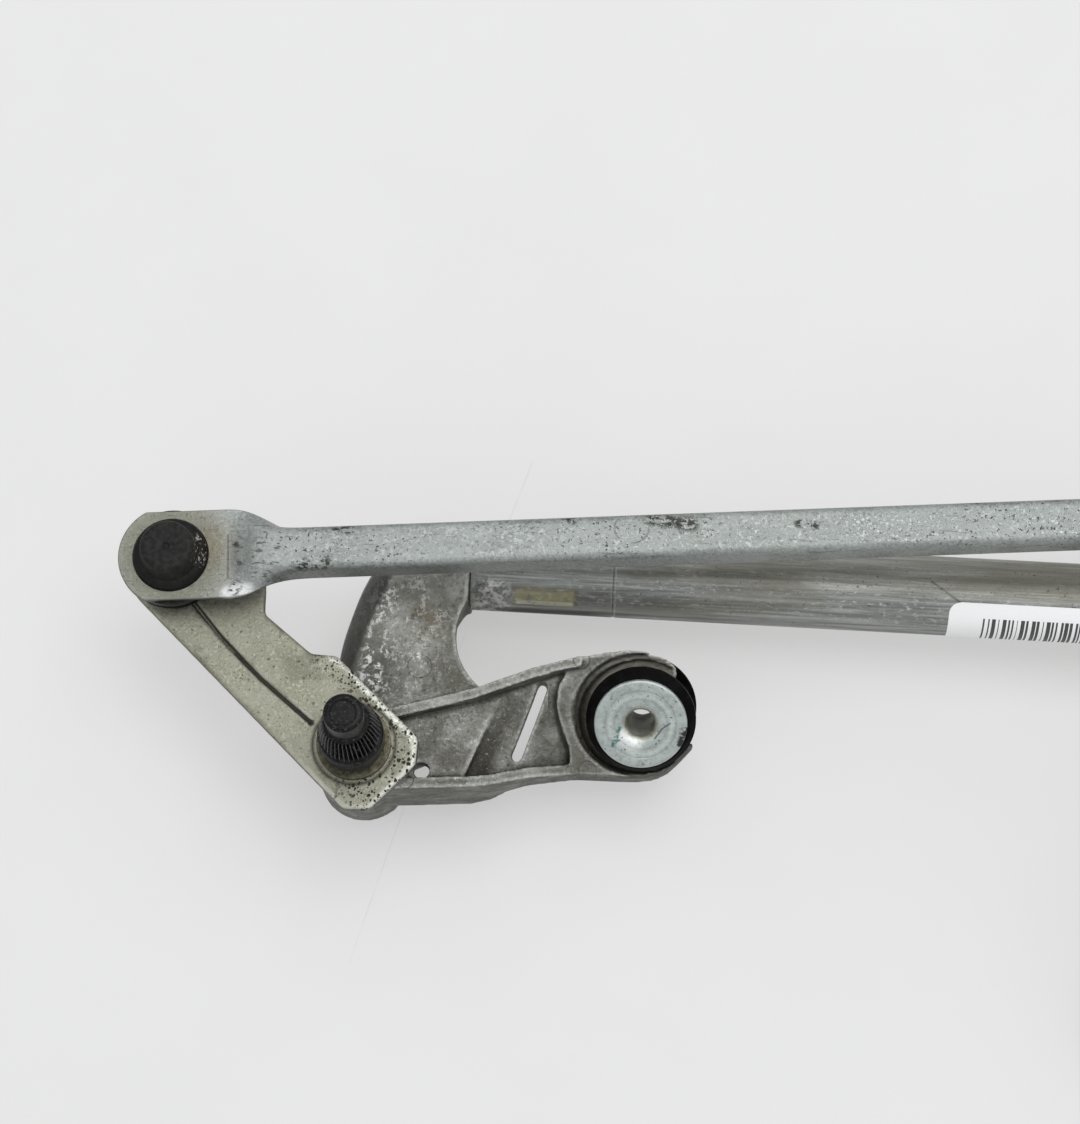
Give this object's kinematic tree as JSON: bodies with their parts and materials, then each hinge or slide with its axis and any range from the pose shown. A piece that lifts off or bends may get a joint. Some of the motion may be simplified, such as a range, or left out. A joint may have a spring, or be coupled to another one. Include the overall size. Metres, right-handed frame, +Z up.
{
  "type": "windshield wiper motor",
  "caption": "Wiper drive: geared motor and crank on a tube frame with cast pivot housings, knurled spindles, levers, ball joints and pressed links.",
  "frame": {"origin": "on the left spindle's axis, at the foot of its plain end, where the knurled cone starts", "axes": "+Z up both spindles, +X along the frame tube from the left pivot to the right one, +Y from the motor towards the tube"},
  "size_m": [0.4934, 0.1662, 0.07],
  "materials": {
    "tube_steel": "dull drawn steel with streaks along it",
    "cast_aluminium": "weathered die casting, pitted",
    "bronze": "sintered bronze, oiled",
    "nylon": "moulded nylon",
    "rubber": "black, satin",
    "zinc_steel": "zinc plated, light and cool",
    "bracket_steel": "zinc plated sheet",
    "black_plastic": "black moulding",
    "can_paint": "black paint on drawn steel",
    "ferrite": "dark ceramic magnet",
    "carbon": "carbon brush",
    "spring_steel": "bright spring steel",
    "tinned_brass": "tinned",
    "ground_steel": "ground, oiled",
    "laminations": "stacked sheet",
    "copper": "copper, lacquered on the coils",
    "crank_steel": "zinc plated",
    "black_steel": "black coated steel, satin",
    "lever_steel": "yellowish grey plated sheet, speckled",
    "link_steel": "bluish grey zinc plated sheet"
  },
  "bodies": {
    "frame": {"frame_tube": "tube_steel", "left_pivot_housing": "cast_aluminium", "right_pivot_housing": "cast_aluminium", "left_spindle_bushes": "bronze", "right_spindle_bushes": "bronze", "left_thrust_washer": "nylon", "right_thrust_washer": "nylon", "left_grommet": "rubber", "left_mount_sleeve": "zinc_steel", "right_grommet": "rubber", "right_mount_sleeve": "zinc_steel", "motor_grommet": "rubber", "motor_mount_sleeve": "zinc_steel", "motor_bracket": "bracket_steel", "bracket_screws": "zinc_steel", "gear_case": "cast_aluminium", "gear_cover": "black_plastic", "cover_screws": "zinc_steel", "output_bushes": "bronze", "park_contacts": "spring_steel", "motor_can": "can_paint", "motor_magnets": "ferrite", "motor_screws": "zinc_steel", "brush_plate": "black_plastic", "brushes": "carbon", "brush_springs": "spring_steel", "shaft_bushes": "bronze", "connector_shell": "black_plastic", "connector_pins": "tinned_brass"},
    "armature": {"worm_shaft": "ground_steel", "armature_core": "laminations", "armature_windings": "copper", "commutator": "copper"},
    "crank": {"worm_wheel": "nylon", "output_shaft": "ground_steel", "park_disc": "copper", "crank_arm": "crank_steel", "crank_nut": "zinc_steel", "crank_ball_stud": "ground_steel", "crank_socket": "black_plastic", "crank_boot": "rubber"},
    "left_lever": {"left_spindle": "black_steel", "left_retaining_clip": "zinc_steel", "left_lever_ring": "black_steel", "left_lever": "lever_steel", "left_ball_stud": "ground_steel"},
    "right_lever": {"right_spindle": "black_steel", "right_retaining_clip": "zinc_steel", "right_lever_ring": "black_steel", "right_lever": "lever_steel", "right_ball_studs": "ground_steel"},
    "drag_link": {"drag_link": "link_steel", "drag_link_sockets": "black_plastic", "drag_link_boots": "rubber"},
    "drive_link": {"drive_link": "link_steel", "drive_link_socket": "black_plastic", "drive_link_boot": "rubber"}
  },
  "joints": [
    {"name": "armature_spin", "type": "hinge", "parent": "frame", "child": "armature", "pos_m": [0.25198, -0.04418, -0.0385], "axis": [1, 0, 0], "range_deg": [0, 10800]},
    {"name": "crank_turn", "type": "hinge", "parent": "frame", "child": "crank", "pos_m": [0.25198, -0.00918, -0.025], "axis": [0, 0, -1], "range_deg": [0, 180]},
    {"name": "left_lever_swing", "type": "hinge", "parent": "frame", "child": "left_lever", "pos_m": [0, 0, -0.022], "axis": [0, 0, -1], "range_deg": [0, 86.2]},
    {"name": "right_lever_swing", "type": "hinge", "parent": "frame", "child": "right_lever", "pos_m": [0.3584, 0.03388, -0.022], "axis": [0, 0, -1], "range_deg": [0, 86.2]},
    {"name": "drag_link_pivot", "type": "hinge", "parent": "left_lever", "child": "drag_link", "pos_m": [-0.04801, 0.04247, -0.011], "axis": [0, 0, 1], "range_deg": [0, 86.2]},
    {"name": "drive_link_pivot", "type": "hinge", "parent": "right_lever", "child": "drive_link", "pos_m": [0.3921, 0.00406, -0.011], "axis": [0, 0, 1], "range_deg": [0, 86.2]}
  ],
  "couplings": [
    {"joint": "crank_turn", "follows": "armature_spin", "ratio": 0.016667},
    {"joint": "left_lever_swing", "follows": "armature_spin", "ratio": 0.0079815},
    {"joint": "right_lever_swing", "follows": "armature_spin", "ratio": 0.0079815},
    {"joint": "drag_link_pivot", "follows": "armature_spin", "ratio": 0.0079815},
    {"joint": "drive_link_pivot", "follows": "armature_spin", "ratio": 0.0079815}
  ]
}
